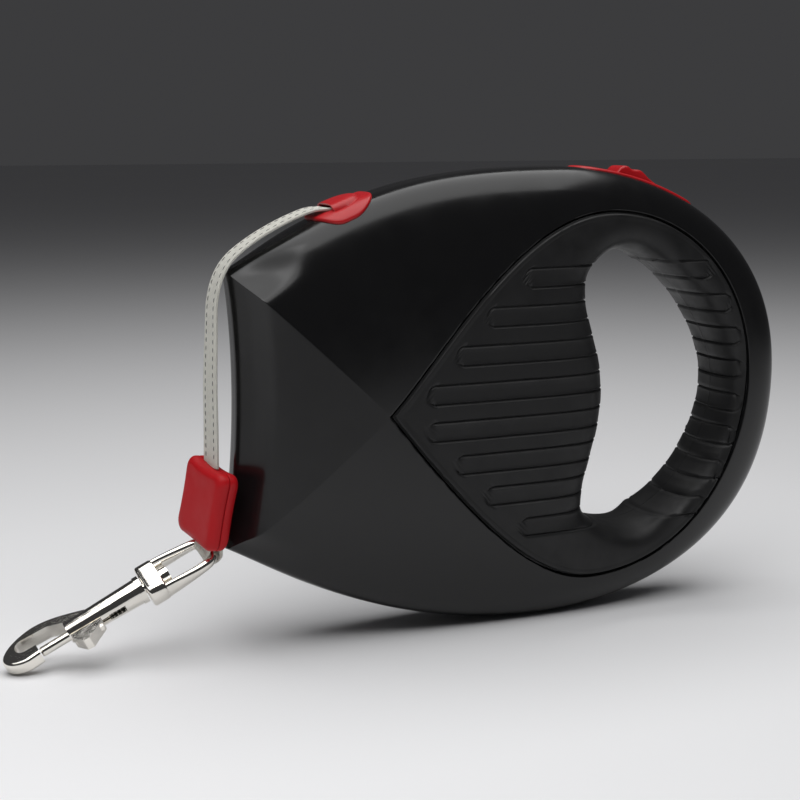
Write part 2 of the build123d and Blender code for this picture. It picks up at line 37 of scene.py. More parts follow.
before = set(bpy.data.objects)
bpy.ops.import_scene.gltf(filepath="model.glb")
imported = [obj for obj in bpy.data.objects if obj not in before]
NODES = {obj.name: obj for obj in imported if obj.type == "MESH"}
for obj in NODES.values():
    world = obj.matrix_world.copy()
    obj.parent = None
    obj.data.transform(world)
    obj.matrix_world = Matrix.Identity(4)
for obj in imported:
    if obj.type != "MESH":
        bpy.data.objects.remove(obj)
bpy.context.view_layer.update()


# ==== materials
def new_material(name, colour, roughness, **constants):
    """Principled material with the given constants set on its own sockets."""
    material = bpy.data.materials.new(name)
    material.use_nodes = True
    shader = material.node_tree.nodes["Principled BSDF"]
    shader.inputs["Base Color"].default_value = (*colour, 1)
    shader.inputs["Roughness"].default_value = roughness
    for socket, value in constants.items():
        shader.inputs[socket.replace("_", " ")].default_value = value
    return material, shader


def add_node(material, kind, links=(), **settings):
    """New node; settings are its properties or inputs, links are (input, source socket)."""
    node = material.node_tree.nodes.new(kind)
    for key, value in settings.items():
        if hasattr(node, key):
            setattr(node, key, value)
        else:
            node.inputs[key.replace("_", " ")].default_value = value
    for key, source in links:
        material.node_tree.links.new(source, node.inputs[key])
    return node


def coordinates(material, kind="Object", scale=(1, 1, 1)):
    source = add_node(material, "ShaderNodeTexCoord").outputs[kind]
    return add_node(material, "ShaderNodeMapping", [("Vector", source)], Scale=scale).outputs["Vector"]


def noise(material, vector, scale, detail=3.0, rough=0.5):
    node = add_node(material, "ShaderNodeTexNoise", [("Vector", vector)],
                    Scale=scale, Detail=detail, Roughness=rough)
    return node.outputs["Fac"]


def spread(material, value, low, high, from_low=0.3, from_high=0.7):
    """Value mapped from one range to another."""
    node = add_node(material, "ShaderNodeMapRange", [("Value", value)],
                    From_Min=from_low, From_Max=from_high, To_Min=low, To_Max=high)
    return node.outputs["Result"]


def maths(material, operation, a, b=0.0):
    """Result of an operation on two numbers or sockets."""
    node = add_node(material, "ShaderNodeMath", operation=operation)
    for socket, value in zip(node.inputs, (a, b)):
        if isinstance(value, (int, float)):
            socket.default_value = value
        else:
            material.node_tree.links.new(value, socket)
    return node.outputs[0]


def blend_colours(material, factor, first, second):
    ramp = add_node(material, "ShaderNodeValToRGB", [("Fac", factor)])
    ramp.color_ramp.elements[0].color = (*first, 1)
    ramp.color_ramp.elements[1].color = (*second, 1)
    return ramp.outputs["Color"]


def bump(material, height, distance, strength, below=None):
    """Normal of a bumped surface, laid over the bump below if there is one."""
    links = [("Height", height)] + ([("Normal", below)] if below else [])
    node = add_node(material, "ShaderNodeBump", links, Strength=strength, Distance=distance)
    return node.outputs["Normal"]


def join(material, shader, socket, source):
    material.node_tree.links.new(source, shader.inputs[socket])


def moulded(name, colour, shade, roughness, grain, depth, **constants):
    """Moulded plastic or rubber: clouded colour and gloss over a fine grain."""
    material, shader = new_material(name, colour, roughness, **constants)
    where = coordinates(material)
    cloud = noise(material, where, 55.0, 4.0)
    grains = noise(material, where, grain, 2.0)
    join(material, shader, "Base Color", blend_colours(material, cloud, colour, shade))
    handled = spread(material, noise(material, where, 120.0, 6.0, 0.65), roughness * 0.8, roughness * 1.25)
    join(material, shader, "Roughness", handled)
    wave = bump(material, noise(material, where, 90.0, 1.0), depth * 2.0, 0.25)
    join(material, shader, "Normal", bump(material, grains, depth, 0.5, wave))
    return material


def metal(name, colour, roughness):
    """Plated metal: faint tint changes, hairline scratches and a soft swell."""
    material, shader = new_material(name, colour, roughness, Metallic=1.0)
    where = coordinates(material)
    hairs = noise(material, coordinates(material, "Object", (900, 4000, 120)), 1.0, 4.0, 0.7)
    cloud = noise(material, where, 160.0, 3.0)
    darker = tuple(c * 0.86 for c in colour)
    join(material, shader, "Base Color", blend_colours(material, cloud, darker, colour))
    join(material, shader, "Roughness", spread(material, hairs, roughness * 0.75, roughness * 1.7))
    swell = bump(material, noise(material, where, 260.0, 1.0), 0.00012, 0.35)
    join(material, shader, "Normal", bump(material, hairs, 0.00002, 0.4, swell))
    return material


def webbing(name, colour, dirt_and_gap_shade):
    """Woven tape: weft ribs across it, warp threads along it, a little soiling, and painted shade that
    darkens the colour between the threads.
    """
    material, shader = new_material(name, colour, 0.8, Sheen_Weight=0.25, Sheen_Roughness=0.5)
    where = coordinates(material, "UV", (1000, 1000, 1))
    split = add_node(material, "ShaderNodeSeparateXYZ", [("Vector", where)])

    def work_out(operation, a, b=0.0):
        return maths(material, operation, a, b)

    ripple = work_out("SINE", work_out("MULTIPLY", split.outputs["X"], 6.1))
    warp = work_out("ABSOLUTE", ripple)
    shift = work_out("MULTIPLY", ripple, 0.55)
    phase = work_out("ADD", work_out("MULTIPLY", split.outputs["Y"], 7.4), shift)
    weft = work_out("ABSOLUTE", work_out("SINE", phase))
    threads = work_out("MULTIPLY", work_out("ADD", warp, 0.35), work_out("ADD", weft, 0.45))
    fuzz = noise(material, where, 3.0, 4.0, 0.7)
    soil = spread(material, noise(material, where, 0.35, 5.0, 0.65), 0.75, 1.05)
    relief = work_out("ADD", threads, work_out("MULTIPLY", fuzz, 0.6))
    # Painted shade: the colour darkens where the weave is low, between the threads, and is mixed with the
    # random soiling.
    gap_shade_and_soil = work_out("MULTIPLY", spread(material, threads, 0.62, 1.0, 0.1, 1.2), soil)
    join(material, shader, "Base Color", blend_colours(material, gap_shade_and_soil, dirt_and_gap_shade, colour))
    join(material, shader, "Normal", bump(material, relief, 0.00022, 0.8))
    return material


BLACK = moulded("gloss_black", (0.0055, 0.0055, 0.0058), (0.0075, 0.0075, 0.0079), 0.2, 2600.0, 0.000004,
                IOR=1.42)
RUBBER = moulded("grip_rubber", (0.006, 0.006, 0.0064), (0.009, 0.009, 0.0094), 0.5, 2400.0, 0.00004, IOR=1.4)
RED = moulded("red_plastic", (0.40, 0.006, 0.010), (0.46, 0.008, 0.012), 0.34, 2600.0, 0.00001, IOR=1.4)
RED_RUBBER = moulded("red_rubber", (0.41, 0.006, 0.010), (0.48, 0.008, 0.012), 0.45, 2200.0, 0.00003, IOR=1.3)
REEL_WHITE = moulded("reel_plastic", (0.66, 0.65, 0.61), (0.74, 0.73, 0.69), 0.42, 1800.0, 0.00002)
CHROME = metal("chrome_steel", (0.86, 0.83, 0.77), 0.07)
STEEL = metal("spring_steel", (0.55, 0.54, 0.52), 0.22)
# The second colour is reached in the painted shade between the threads and where the tape is soiled.
WEB = webbing("webbing", (0.86, 0.85, 0.77), (0.47, 0.45, 0.38))
THREAD = moulded("tracer_thread", (0.035, 0.035, 0.032), (0.08, 0.078, 0.07), 0.8, 6000.0, 0.00005)
SCREW_STEEL = metal("screw_steel", (0.32, 0.31, 0.30), 0.3)


# ==== mesh helpers
def mesh_piece(name, points, faces, material, smooth_angle=40.0, uvs=None):
    """Object from points in millimetres. Faces that meet at more than the angle stay sharp."""
    mesh = bpy.data.meshes.new(name)
    mesh.from_pydata([tuple(MM * float(c) for c in p) for p in points], [], faces)
    mesh.validate()
    if uvs is not None:
        layer = mesh.uv_layers.new(name="UVMap")
        for loop in mesh.loops:
            layer.data[loop.index].uv = uvs[loop.vertex_index]
    piece = bpy.data.objects.new(name, mesh)
    bpy.context.scene.collection.objects.link(piece)
    paint(piece, material)
    soften(piece, smooth_angle)
    return piece


def paint(piece, material):
    piece.data.materials.clear()
    piece.data.materials.append(material)


def soften(piece, angle):
    for polygon in piece.data.polygons:
        polygon.use_smooth = True
    piece.data.set_sharp_from_angle(angle=math.radians(angle))


def outward(piece):
    """Merge doubled vertices, drop loose ones and make the normals point out."""
    work = bmesh.new()
    work.from_mesh(piece.data)
    bmesh.ops.remove_doubles(work, verts=work.verts, dist=2e-6)
    bmesh.ops.dissolve_degenerate(work, dist=1e-6, edges=work.edges)
    bmesh.ops.delete(work, geom=[v for v in work.verts if not v.link_faces], context="VERTS")
    bmesh.ops.recalc_face_normals(work, faces=work.faces)
    work.to_mesh(piece.data)
    work.free()


def closed_piece(name, points, faces, material, smooth_angle):
    """Piece of a closed surface, with its normals out."""
    piece = mesh_piece(name, points, faces, material)
    outward(piece)
    soften(piece, smooth_angle)
    return piece


def apply_modifier(piece, kind, **settings):
    """Add a modifier, apply it and leave a plain mesh."""
    modifier = piece.modifiers.new(kind, kind)
    for key, value in settings.items():
        setattr(modifier, key, value)
    graph = bpy.context.evaluated_depsgraph_get()
    graph.update()
    made = bpy.data.meshes.new_from_object(piece.evaluated_get(graph))
    piece.modifiers.clear()
    old = piece.data
    piece.data = made
    bpy.data.meshes.remove(old)


def cut_away(piece, cutter):
    """Subtract the cutter from the piece and throw it away."""
    apply_modifier(piece, "BOOLEAN", operation="DIFFERENCE", solver="EXACT", object=cutter)
    bpy.data.objects.remove(cutter)


def grid_faces(rows, columns, close_rows=False, close_columns=False):
    """Quads of a grid of points stored row by row."""
    faces = []
    for r in range(rows if close_rows else rows - 1):
        for c in range(columns if close_columns else columns - 1):
            r2, c2 = (r + 1) % rows, (c + 1) % columns
            faces.append((r * columns + c, r * columns + c2, r2 * columns + c2, r2 * columns + c))
    return faces


def tube_faces(rings, sides):
    """Faces of a tube of points stored ring by ring, closed at both ends."""
    last_ring = (rings - 1) * sides
    ends = [list(range(sides))[::-1], [last_ring + k for k in range(sides)]]
    return grid_faces(rings, sides, False, True) + ends


def unit(vector):
    return vector / np.linalg.norm(vector)


def smooth_step(value, low, high):
    t = np.clip((np.asarray(value, float) - low) / (high - low), 0, 1)
    return t * t * (3 - 2 * t)


def place(piece, body, slot, *nodes):
    """Ride on a body and stand for CAD nodes, which are hidden; the slot argument is not used."""
    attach(piece, body)
    if nodes:
        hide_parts(*nodes)
    return piece


# ==== outlines
PEAK = np.array([-52.5, 76.3])  # where the creases of the flank meet, (x, z)
CROWN = 22.0                    # half of the greatest thickness
# Each outline is a ring of cubic curves through points (x, z).
BODY = [
    ((-99.8, 121.7), (-56.8, 147.5), (-36.2, 153.1), (14.0, 153.1)),
    ((14.0, 153.1), (48.4, 153.1), (101.7, 133.5), (101.7, 79.0)),
    ((101.7, 79.0), (101.7, 5.9), (27.3, 0.0), (9.0, 0.0)),
    ((9.0, 0.0), (-45.6, 0.0), (-80.7, 22.8), (-101.7, 33.6)),
    ((-101.7, 33.6), (-97.5, 60.0), (-95.8, 93.0), (-99.8, 121.7)),
]
GRIP = [
    ((-52.5, 76.3), (-34.4, 94.4), (-6.9, 138.5), (29.0, 138.5)),
    ((29.0, 138.5), (57.8, 138.5), (86.0, 116.1), (86.0, 79.0)),
    ((86.0, 79.0), (86.0, 54.5), (67.3, 14.0), (25.0, 14.0)),
    ((25.0, 14.0), (7.6, 14.0), (-14.2, 27.3), (-52.5, 76.3)),
]
HOLE = [
    ((36.0, 125.0), (54.0, 125.0), (79.5, 98.0), (79.5, 76.0)),
    ((79.5, 76.0), (79.5, 54.0), (59.0, 29.5), (40.0, 29.5)),
    ((40.0, 29.5), (31.0, 29.5), (23.5, 33.5), (23.5, 38.5)),
    ((23.5, 38.5), (23.5, 50.5), (30.5, 61.0), (30.5, 77.0)),
    ((30.5, 77.0), (30.5, 93.0), (23.5, 101.0), (23.5, 113.0)),
    ((23.5, 113.0), (23.5, 119.0), (28.0, 125.0), (36.0, 125.0)),
]


def bezier(curve, count=240):
    a, b, c, d = (np.array(p, float) for p in curve)
    t = np.linspace(0, 1, count)[:, None]
    return a * (1 - t) ** 3 + 3 * b * t * (1 - t) ** 2 + 3 * c * t * t * (1 - t) + d * t ** 3


def chain(curves):
    """Points along curves laid end to end, without doubled joints."""
    parts = [bezier(curve) for curve in curves]
    return np.vstack([parts[0]] + [part[1:] for part in parts[1:]])


def lengths(line):
    """Length along a polyline up to each of its points."""
    return np.concatenate([[0], np.cumsum(np.linalg.norm(np.diff(line, axis=0), axis=1))])


def at_share(line, shares):
    """Points of a polyline at the given shares of its length."""
    along = lengths(line)
    places = np.asarray(shares) * along[-1]
    return np.stack([np.interp(places, along, line[:, i]) for i in range(line.shape[1])], 1)


# ---- the crowned surface
def polar_radius():
    """Distance from the peak to the body outline by angle, with softened corners."""
    ring = chain(BODY) - PEAK
    angles = np.arctan2(ring[:, 1], ring[:, 0])
    grid = np.linspace(-math.pi, math.pi, 7200, endpoint=False)
    order = np.argsort(angles)
    radius = np.interp(grid, angles[order], np.linalg.norm(ring, axis=1)[order], period=2 * math.pi)
    reach = 13
    kernel = np.hanning(2 * reach + 1)
    wrapped = np.concatenate([radius[-reach:], radius, radius[:reach]])
    return grid, np.convolve(wrapped, kernel / kernel.sum(), "valid")


ANGLES, RADII = polar_radius()


def gauge(points):
    """1 on the body outline, 0 at the peak, the same in between along every ray."""
    offset = np.asarray(points, float) - PEAK
    angle = np.arctan2(offset[..., 1], offset[..., 0])
    return np.hypot(offset[..., 0], offset[..., 1]) / np.interp(angle, ANGLES, RADII, period=2 * math.pi)


CROWN_POWER, RIM_POWER = 1.7, 4.0


def height_at_gauge(k):
    return CROWN * (1 - np.clip(k, 0, 1) ** CROWN_POWER) ** (1 / RIM_POWER)


def height(points):
    """Half thickness of the body at points (x, z)."""
    return height_at_gauge(gauge(points))


def nose_taper(points, level):
    """Share of the thickness left where the sides close in towards the nose."""
    offset = points - PEAK
    angle = np.degrees(np.arctan2(offset[..., 1], offset[..., 0])) % 360
    ahead = smooth_step(angle, 112, 135) * (1 - smooth_step(angle, 218, 245))
    return 1 - 0.52 * ahead * smooth_step(level, 0.80, 0.985)


def gauge_at_height(y):
    """Gauge at which the body is this far from the middle plane."""
    return (1 - (np.abs(y) / CROWN) ** RIM_POWER) ** (1 / CROWN_POWER)


def distance_to(line, points):
    """Distance from each point to a polyline, in the plane."""
    flat = points.reshape(-1, 2)
    found = np.empty(len(flat))
    for i in range(0, len(flat), 2000):
        gap = flat[i:i + 2000, None, :] - line[None, :, :]
        found[i:i + 2000] = np.sqrt((gap ** 2).sum(2).min(1))
    return found.reshape(points.shape[:-1])


# ==== casings
PARTING = 0.06                  # half the gap between the casings
CASING_WALL, CASING_SMOOTH, COLUMN_STEP = 2.4, 38, 1.7
NOTCHES = [(21.5, 67.0, 100.0), (-67.0, -54.0, 100.0)]   # x range and least z: brake, tape exit
NOTCH_HALF = 5.4
LEDGE_DEPTH, LEDGE_WIDTH = 3.2, 2.6


def spaced(line, fine_start=False, fine_end=False):
    """Shares of a line for its columns, closer at the marked ends."""
    total = lengths(line)[-1]
    shares = [np.linspace(0, 1, int(total / COLUMN_STEP) + 1)]
    near = np.array([0.2, 0.5, 0.9]) / total
    if fine_start:
        shares.append(near)
    if fine_end:
        shares.append(1 - near)
    return np.unique(np.round(np.concatenate(shares), 6))


def casing_columns():
    """Pairs of points: on the grip outline and on the body outline."""
    top, low, nose = chain(BODY[:2]), chain(BODY[2:4]), chain(BODY[4:])
    parts = [(chain(GRIP[:2]), top, spaced(top, fine_start=True)),
             (chain(GRIP[2:]), low, spaced(low, fine_end=True)[1:]),
             (np.array([PEAK, PEAK]), nose, spaced(nose, True, True)[1:-1])]
    inner = np.vstack([at_share(line, shares) for line, _, shares in parts])
    outer = np.vstack([at_share(line, shares) for _, line, shares in parts])
    return inner, outer


def casing_rows(inner, outer):
    """Shares along each column: close at the grip's edge and round the rim."""
    rim = [PARTING, 0.2, 0.8, 1.8, 3.0, 4.2, NOTCH_HALF, 6.6, 7.7, 8.7, 9.6, 10.4, 11.2, 11.9, 12.6,
           13.2, 13.8]
    edge = np.array([0.0, 0.12, 0.26, 0.42, 0.62, 1.0, 1.6])
    dense = np.linspace(0, 1, 900)
    columns = []
    for a, b in zip(inner, outer):
        reach = np.linalg.norm(b - a)
        levels = gauge(a + dense[:, None] * (b - a))
        levels = levels * (1 + (1 / levels[-1] - 1) * dense)
        rim_shares = np.interp(gauge_at_height(np.array(rim)), levels, dense)[::-1]
        near = edge / reach
        first = rim_shares[0]
        if first <= near[-1]:
            rim_shares = near[-1] + (rim_shares - first) / (1 - first) * (1 - near[-1])
            first = rim_shares[0]
        middle = np.linspace(near[-1], first, 38)[1:-1]
        columns.append(np.concatenate([near, middle, rim_shares]))
    return np.array(columns)


def left_casing_grid():
    """Outside of the left casing, as a grid of points and its faces."""
    inner, outer = casing_columns()
    shares = casing_rows(inner, outer)
    flat = inner[:, None, :] + shares[:, :, None] * (outer - inner)[:, None, :]
    level = gauge(flat)
    level = level * (1 + (1 / level[:, -1:] - 1) * shares)
    y = height_at_gauge(level) * nose_taper(flat, level)
    y[:, -1] = PARTING
    gap = distance_to(chain(GRIP), flat)
    y -= 1.1 * (1 - smooth_step(gap, 0.0, 0.55))
    flat, y = with_ledge(flat, y, inner, outer)
    count, rows = y.shape
    points = np.stack([flat[..., 0], -y, flat[..., 1]], 2)
    faces = []
    for c in range(count):
        c2 = (c + 1) % count
        for r in range(rows - 1):
            corner = [(c, r), (c, r + 1), (c2, r + 1), (c2, r)]
            middle = np.mean([points[i, j] for i, j in corner], 0)
            if not in_notch(middle):
                faces.append([i * rows + j for i, j in corner])
    return points.reshape(-1, 3), faces


def with_ledge(flat, y, inner, outer):
    """Add the recessed ledge that the grip lies on."""
    toward = (inner - outer) / np.linalg.norm(outer - inner, axis=1)[:, None]
    level = height(inner) - LEDGE_DEPTH
    step = [inner + toward * LEDGE_WIDTH, inner + toward * 0.05]
    flat = np.concatenate([np.stack(step, 1), flat], 1)
    return flat, np.concatenate([np.stack([level, level], 1), y], 1)


def in_notch(point):
    x, y, z = point
    return any(x0 < x < x1 and z > z0 and abs(y) < NOTCH_HALF for x0, x1, z0 in NOTCHES)


def half_shell(name, side, skin, material, wall, smooth_angle, **settings):
    """Outside skin of the left half, or its mirror image, given its wall thickness."""
    points, faces = skin
    piece = mesh_piece(name, points * np.array([1, -side, 1]), faces, material)
    outward(piece)
    if side * sum(p.normal.y * p.area for p in piece.data.polygons) < 0:
        piece.data.flip_normals()
    apply_modifier(piece, "SOLIDIFY", thickness=wall * MM, offset=-1.0, **settings)
    soften(piece, smooth_angle)
    return piece


casing_skin = left_casing_grid()
left_shell, right_shell = (
    half_shell(name, side, casing_skin, BLACK, CASING_WALL, CASING_SMOOTH, use_quality_normals=True)
    for name, side in (("left_casing_shell", -1), ("right_casing_shell", 1)))
place(left_shell, "casing", "gloss_black", "left_casing")


# ---- the screws' bores
SCREWS = [(-86.0, 115.0), (-86.0, 42.0), (-4.0, 12.5), (-24.0, 139.0), (93.6, 79.0), (73.5, 30.0)]
BORE_R, BOSS_R, SHANK_R, SEAT_Y = 3.15, 3.9, 1.55, 7.0
BEYOND_Y = 30.0                 # outside the casing


def turned_ring(profile, x, z, steps=40):
    """Points and faces of a closed profile (radius, y) turned about an axis along Y."""
    points, rows = [], len(profile)
    for i in range(steps):
        a = 2 * math.pi * i / steps
        points += [(x + r * math.cos(a), y, z + r * math.sin(a)) for r, y in profile]
    return points, grid_faces(steps, rows, True, True)


def bore_right_casing(shell):
    """Counterbores with their bosses, put in from the right side."""
    for i, (x, z) in enumerate(SCREWS):
        profile = [(BORE_R, SEAT_Y), (BORE_R, BEYOND_Y), (0.001, BEYOND_Y), (0.001, SEAT_Y)]
        cut_away(shell, closed_piece(f"cutter_{i}", *turned_ring(profile, x, z), BLACK, CASING_SMOOTH))
    points, faces = [], []
    for x, z in SCREWS:
        turns = np.linspace(0, 6.28, 24)
        around = np.stack([x + BOSS_R * np.cos(turns), z + BOSS_R * np.sin(turns)], 1)
        top = float(height(around).min()) - 0.5
        profile = [(BORE_R, SEAT_Y), (BORE_R, top), (BOSS_R, top), (BOSS_R, 0.1), (SHANK_R, 0.1),
                   (SHANK_R, SEAT_Y)]
        more, more_faces = turned_ring(profile, x, z)
        faces += [[v + len(points) for v in face] for face in more_faces]
        points += more
    return closed_piece("right_casing_bosses", points, faces, BLACK, CASING_SMOOTH)


screw_bosses = bore_right_casing(right_shell)
soften(right_shell, CASING_SMOOTH)
place(right_shell, "casing", "gloss_black", "right_casing")
place(screw_bosses, "casing", "gloss_black")


# ==== grips
RIB_Z = [118.0, 106.0, 94.0, 82.0, 70.0, 58.5, 47.0, 35.0]
RIB_LEFT_X = [-5.0, -19.0, -30.0, -40.0, -40.0, -30.0, -19.0, -5.5]
RIB_RIGHT_X = [69.0, 77.6, 82.2, 83.9, 83.6, 81.7, 77.1, 69.3]
RIB_HALF, PAD_DEPTH, GROOVE_DEPTH, GROOVE_HALF = 3.1, 0.14, 0.62, 0.62
LEVEL_COLUMNS = (31.4, 121.7)   # heights between which the grip's columns run level
LEVEL_STEP, SIDE_SPLIT_X = 1.5, 50.0
FLARE_2, FLARE_4 = 0.011, 0.000048   # hole flare: offset = FLARE_2 y^2 + FLARE_4 y^4
GRIP_GAP, GRIP_PROUD, GRIP_WALL = 0.45, 0.18, 1.5


def rib_levels(low, high):
    """Heights of the level columns, with extra ones along the edges of each rib."""
    levels = list(np.arange(low, high, LEVEL_STEP))
    for z in RIB_Z:
        for offset in (-1.0, -0.62, -0.31, 0.0, 0.31, 0.62):
            levels += [z - RIB_HALF - offset, z + RIB_HALF + offset]
    levels = np.unique(np.round([v for v in levels if low <= v <= high] + [low, high], 3))
    keep = [levels[0]]
    for v in levels[1:]:
        if v - keep[-1] > 0.2:
            keep.append(v)
    return np.array(keep)


def crossing(line, z):
    """x where a polyline that rises or falls steadily crosses a height."""
    order = np.argsort(line[:, 1])
    return np.interp(z, line[order, 1], line[order, 0])


def grip_columns():
    """Pairs of points round the hole: on the hole's edge and on the grip outline."""
    levels = rib_levels(*LEVEL_COLUMNS)
    hole = chain(HOLE)
    clear_of_ends = (hole[:, 1] >= 30) & (hole[:, 1] <= 124.5)
    left_x = crossing(hole[(hole[:, 0] < 33) & clear_of_ends], levels)
    right_x = crossing(hole[hole[:, 0] > 38], levels)
    above, below = crossing(chain(GRIP[:1]), levels), crossing(chain(GRIP[3:]), levels)
    border_left_x = np.where(levels > PEAK[1], above, below)
    border_right_x = crossing(chain(GRIP[1:3]), levels)
    inner = ring_columns(hole, left_x, right_x, levels)
    return inner, ring_columns(chain(GRIP), border_left_x, border_right_x, levels)


def ring_columns(ring, left_x, right_x, levels):
    """Points round a closed line: at the levels on both sides, evenly spaced over the two ends."""
    left, right = np.stack([left_x, levels], 1), np.stack([right_x, levels], 1)
    shares = np.linspace(0, 1, 60)[1:-1]
    top = at_share(between(ring, left[-1], right[-1], upper=True), shares)
    low = at_share(between(ring, right[0], left[0], upper=False), shares)
    return np.vstack([left, top, right[::-1], low])


def between(ring, start, end, upper):
    """Part of a closed line above or below the two points, from one to the other."""
    sign = -1 if upper else 1
    part = ring[sign * (ring[:, 1] - start[1]) < -0.01]
    offset = sign * (part - part.mean(0))
    part = part[np.argsort(np.arctan2(offset[:, 0], offset[:, 1] + 40))]
    if np.linalg.norm(part[0] - start) > np.linalg.norm(part[-1] - start):
        part = part[::-1]
    return np.vstack([[start], part, [end]])


def flare_height(offset):
    """Height of the flared wall of the hand hole at an offset from its edge."""
    root = np.sqrt(FLARE_2 ** 2 + 4 * FLARE_4 * np.maximum(offset, 0))
    return np.sqrt((root - FLARE_2) / (2 * FLARE_4))


def soft_least(a, b, width):
    """Smaller of two values, rounded where they cross."""
    mix = np.clip(0.5 + 0.5 * (b - a) / width, 0, 1)
    return b * (1 - mix) + a * mix - width * mix * (1 - mix)


def rib_depth(points):
    """Depth of the ribs at points (x, z): rounded pads, each with a narrow groove round it."""
    found = np.zeros(points.shape[:-1])
    for z, left, right in zip(RIB_Z, RIB_LEFT_X, RIB_RIGHT_X):
        on_left = points[..., 0] < SIDE_SPLIT_X
        beyond = np.where(on_left, left + RIB_HALF - points[..., 0], points[..., 0] - (right - RIB_HALF))
        gap = np.hypot(np.maximum(beyond, 0), points[..., 1] - z) - RIB_HALF
        groove = GROOVE_DEPTH * (1 - smooth_step(np.abs(gap), 0.08, GROOVE_HALF))
        pad = PAD_DEPTH * (1 - smooth_step(gap, -1.2, -0.3))
        found = np.maximum(found, np.maximum(groove, pad))
    return found


def left_grip_grid():
    """Outside of the left grip: up the hole's wall, over the face and down its border."""
    inner, outer = grip_columns()
    reach = np.linalg.norm(outer - inner, axis=1)
    toward = (outer - inner) / reach[:, None]
    wall_y = np.array([PARTING, 0.25, 1.5, 3.0, 4.5, 6.0, 7.3, 8.5])
    wall = FLARE_2 * wall_y ** 2 + FLARE_4 * wall_y ** 4
    border = np.array([3.0, 2.2, 1.75, 1.4, 1.1, 0.85, 0.65, 0.5, GRIP_GAP, GRIP_GAP])
    eased = np.linspace(0, 1, 150)[1:-1] ** 1.15
    offsets = []
    for length in reach:
        near, far = wall[-1], max(length - border[0], wall[-1] + 1.5)
        ends = np.maximum(length - border, far)
        ends = np.where(length - border[0] < far, np.linspace(far, length - GRIP_GAP, len(border)), ends)
        offsets.append(np.concatenate([wall, near + eased * (far - near), ends]))
    offsets = np.array(offsets)
    flat = inner[:, None, :] + offsets[:, :, None] * toward[:, None, :]
    face_y = height(flat) + GRIP_PROUD
    y = soft_least(flare_height(offsets), face_y, 5.0)
    y[:, :len(wall_y)] = wall_y
    edge = distance_to(chain(GRIP), flat)
    roll = smooth_step(edge, GRIP_GAP - 0.05, 1.05)
    y += 0.22 * smooth_step(edge, 0.6, 1.1) * (1 - smooth_step(edge, 1.7, 2.6))
    y -= 0.95 * (1 - roll)
    y[:, -1] -= 1.0
    grid = press_ribs(np.stack([flat[..., 0], -y, flat[..., 1]], 2), flat)
    return grid.reshape(-1, 3), grid_faces(*y.shape, True)


def press_ribs(points, flat):
    """Sink the ribs along the surface's own normals."""
    along = np.roll(points, -1, 0) - np.roll(points, 1, 0)
    across = np.empty_like(points)
    across[:, 1:-1] = points[:, 2:] - points[:, :-2]
    across[:, 0], across[:, -1] = points[:, 1] - points[:, 0], points[:, -1] - points[:, -2]
    normal = np.cross(along, across)
    normal /= np.maximum(np.linalg.norm(normal, axis=2, keepdims=True), 1e-9)
    normal *= np.where(normal[..., 1:2] > 0, -1, 1)
    wall = np.abs(normal[..., 1]) < 0.2
    outward_x = np.where(flat[..., 0] < SIDE_SPLIT_X, 1, -1)
    flip = wall & (normal[..., 0] * outward_x < 0)
    normal[flip] *= -1
    depth = rib_depth(flat) * smooth_step(np.abs(points[..., 1]), -1.0, 0.5)
    return points - normal * depth[..., None]


grip_skin = left_grip_grid()
for name, side in (("left_grip", -1), ("right_grip", 1)):
    grip = half_shell(name + "_skin", side, grip_skin, RUBBER, GRIP_WALL, 50)
    place(grip, "casing", "grip_rubber", name)


# ==== tape
TAPE_WIDTH, TAPE_THICK = 10.0, 1.1
ROUTE = [
    (-60.5, 139.6), (-68.4, 141.6), (-79.5, 137.6), (-90.5, 131.9), (-99.8, 125.0),
    (-103.9, 115.0), (-104.3, 102.5), (-105.0, 87.5), (-105.0, 73.0), (-105.2, 60.4),
]
TWIST_END = math.radians(-9)
FACE_SHARE = 0.80               # share of the thickness between the raised edges
DASH_PITCH, DASH_LENGTH, DASH_ROW = 2.6, 1.8, 3.05
DASH_HALF, DASH_LIFT, DASH_SINK = 0.28, 0.22, 0.06


def nurbs_line(points, name):
    """Points along a smooth curve with the route as its control points, in metres."""
    curve = bpy.data.curves.new(name, "CURVE")
    curve.dimensions = "3D"
    curve.resolution_u = 24
    spline = curve.splines.new("NURBS")
    spline.points.add(len(points) - 1)
    for target, p in zip(spline.points, points):
        target.co = (*p, 1)
    spline.order_u = 3
    spline.use_endpoint_u = True
    holder = bpy.data.objects.new(name, curve)
    bpy.context.scene.collection.objects.link(holder)
    bpy.context.view_layer.update()
    mesh = bpy.data.meshes.new_from_object(holder.evaluated_get(bpy.context.evaluated_depsgraph_get()))
    line = [Vector(v.co) for v in mesh.vertices]
    bpy.data.objects.remove(holder)
    bpy.data.meshes.remove(mesh)
    return line


def tape_section():
    """Rounded section of the tape with raised edges, as points (across, thick)."""
    half, thick = TAPE_WIDTH / 2, TAPE_THICK / 2
    shares = np.linspace(-1, 1, 25)
    cushion = smooth_step(np.abs(shares), 0.62, 0.80) * (1 - smooth_step(np.abs(shares), 0.93, 1.0))
    face = thick * (FACE_SHARE + (1 - FACE_SHARE) * cushion)
    upper = [(half * 0.965 * s, t) for s, t in zip(shares, face)]
    lower = [(a, -t) for a, t in reversed(upper)]
    right = [(half * 0.992, thick * 0.45), (half, 0.0), (half * 0.992, -thick * 0.45)]
    left = [(-a, -t) for a, t in right]
    return upper + right + lower + left


def tape_frames(line, across=(0, 1, 0), twist=0.0):
    """Origin, across and normal direction at each point of the line; the far end is twisted."""
    frames = []
    last = len(line) - 1
    for i, here in enumerate(line):
        tangent = (line[min(i + 1, last)] - line[max(i - 1, 0)]).normalized()
        turn = twist * smooth_step(i / last, 0.35, 1.0).item()
        side = Matrix.Rotation(turn, 3, tangent) @ Vector(across)
        frames.append((here, side, tangent.cross(side).normalized()))
    return frames


